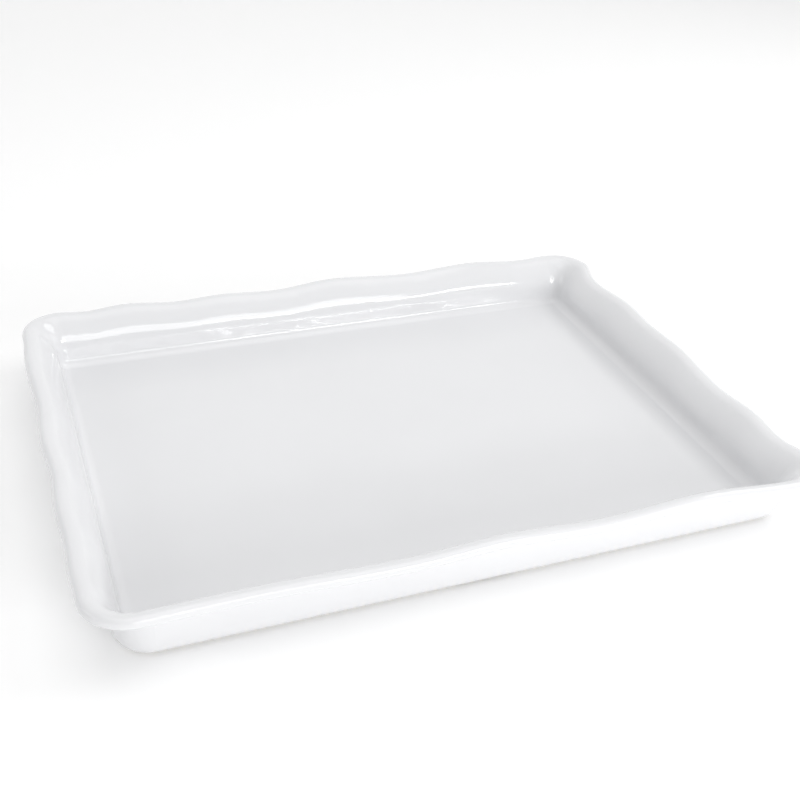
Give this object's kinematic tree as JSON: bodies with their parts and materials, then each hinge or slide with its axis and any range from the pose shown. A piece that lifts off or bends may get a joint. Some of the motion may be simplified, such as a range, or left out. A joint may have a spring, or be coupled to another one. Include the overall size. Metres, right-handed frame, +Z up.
{
  "type": "china serving platter",
  "caption": "Rectangular white glazed china serving platter with steep flared walls, a ruffled turned-down rim and a dry foot ring with drain notches.",
  "frame": {"origin": "on the table, under the middle of the platter", "axes": "+X along the length, +Y across the width, +Z up"},
  "size_m": [0.4014, 0.3019, 0.0378],
  "materials": {
    "bare_china": "dry unglazed foot, sanded smooth",
    "white_glaze": "glossy clear glaze on white china",
    "underside_glaze": "glossy thin glaze on white china"
  },
  "bodies": {
    "root": {"china_body": "bare_china", "glaze_coat": "white_glaze", "underside_glaze": "underside_glaze"}
  },
  "joints": []
}
